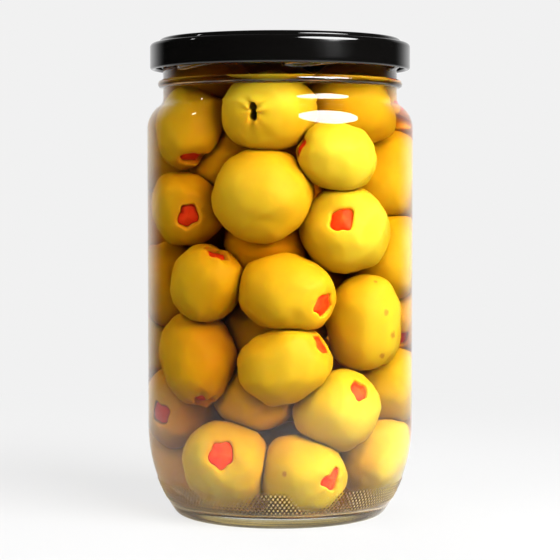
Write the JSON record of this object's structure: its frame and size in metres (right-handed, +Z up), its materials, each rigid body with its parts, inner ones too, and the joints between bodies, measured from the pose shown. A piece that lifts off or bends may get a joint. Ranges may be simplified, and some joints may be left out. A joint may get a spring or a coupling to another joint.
{
  "type": "jar of olives",
  "caption": "Clear glass jar with a black twist-off metal lid, filled to the neck with large yellow pimento-stuffed olives in brine.",
  "frame": {"origin": "centre of the ring that the jar stands on, on the surface under it", "axes": "+Z up along the jar's axis; the side that the picture shows faces -Y"},
  "size_m": [0.0866, 0.0866, 0.1547],
  "materials": {
    "glass": "clear, glossy",
    "lid_enamel": "glossy black enamel on tinplate",
    "brine": "clear yellow liquid",
    "olive": "smooth waxy skin",
    "pimento": "soft wet red flesh"
  },
  "bodies": {
    "root": {"jar": "glass", "lid": "lid_enamel", "brine": "brine"}
  },
  "joints": []
}
